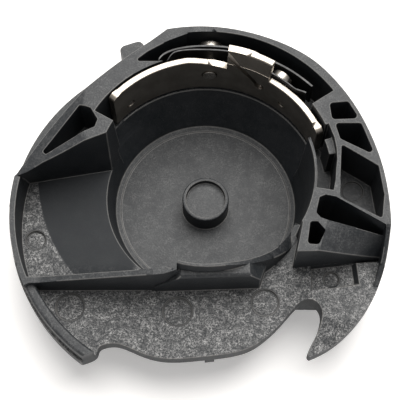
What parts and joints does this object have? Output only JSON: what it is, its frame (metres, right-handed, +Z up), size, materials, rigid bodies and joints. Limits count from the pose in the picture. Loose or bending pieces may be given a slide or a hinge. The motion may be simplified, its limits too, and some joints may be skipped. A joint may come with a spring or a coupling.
{
  "type": "bobbin case",
  "caption": "Drop-in sewing machine bobbin case: a round open moulding with a centre post, a race flange and a sprung steel thread-tension plate.",
  "frame": {"origin": "on the bobbin axis, at the underside of the case", "axes": "+Z up out of the open side along the bobbin axis, +Y towards the tension set at the back, +X right"},
  "size_m": [0.042, 0.0391, 0.015],
  "materials": {
    "moulding": "matt, glass-fibre flecked",
    "plated_steel": "nickel plated, satin",
    "spring_steel": "bright",
    "screw_steel": "nickel plated"
  },
  "bodies": {
    "case": {"case_body": "moulding", "tension_plate": "plated_steel", "adjusting_leaf": "spring_steel", "clamp_screw": "screw_steel", "leaf_rivet": "screw_steel", "plate_pin": "screw_steel"},
    "tension_leaf": {"tension_leaf": "spring_steel"},
    "tension_screw": {"tension_screw": "screw_steel"}
  },
  "joints": [
    {"name": "leaf_lift", "type": "hinge", "parent": "case", "child": "tension_leaf", "pos_m": [0.00827, 0.01159, 0.0105], "axis": [0, 0, -1], "range_deg": [0, 0.8], "stiffness_Nm_per_rad": 0.1},
    {"name": "screw_turn", "type": "hinge", "parent": "case", "child": "tension_screw", "pos_m": [0.00055, 0.01569, 0.0101], "axis": [0.0349, 0.9994, 0], "range_deg": [-180, 180]}
  ]
}
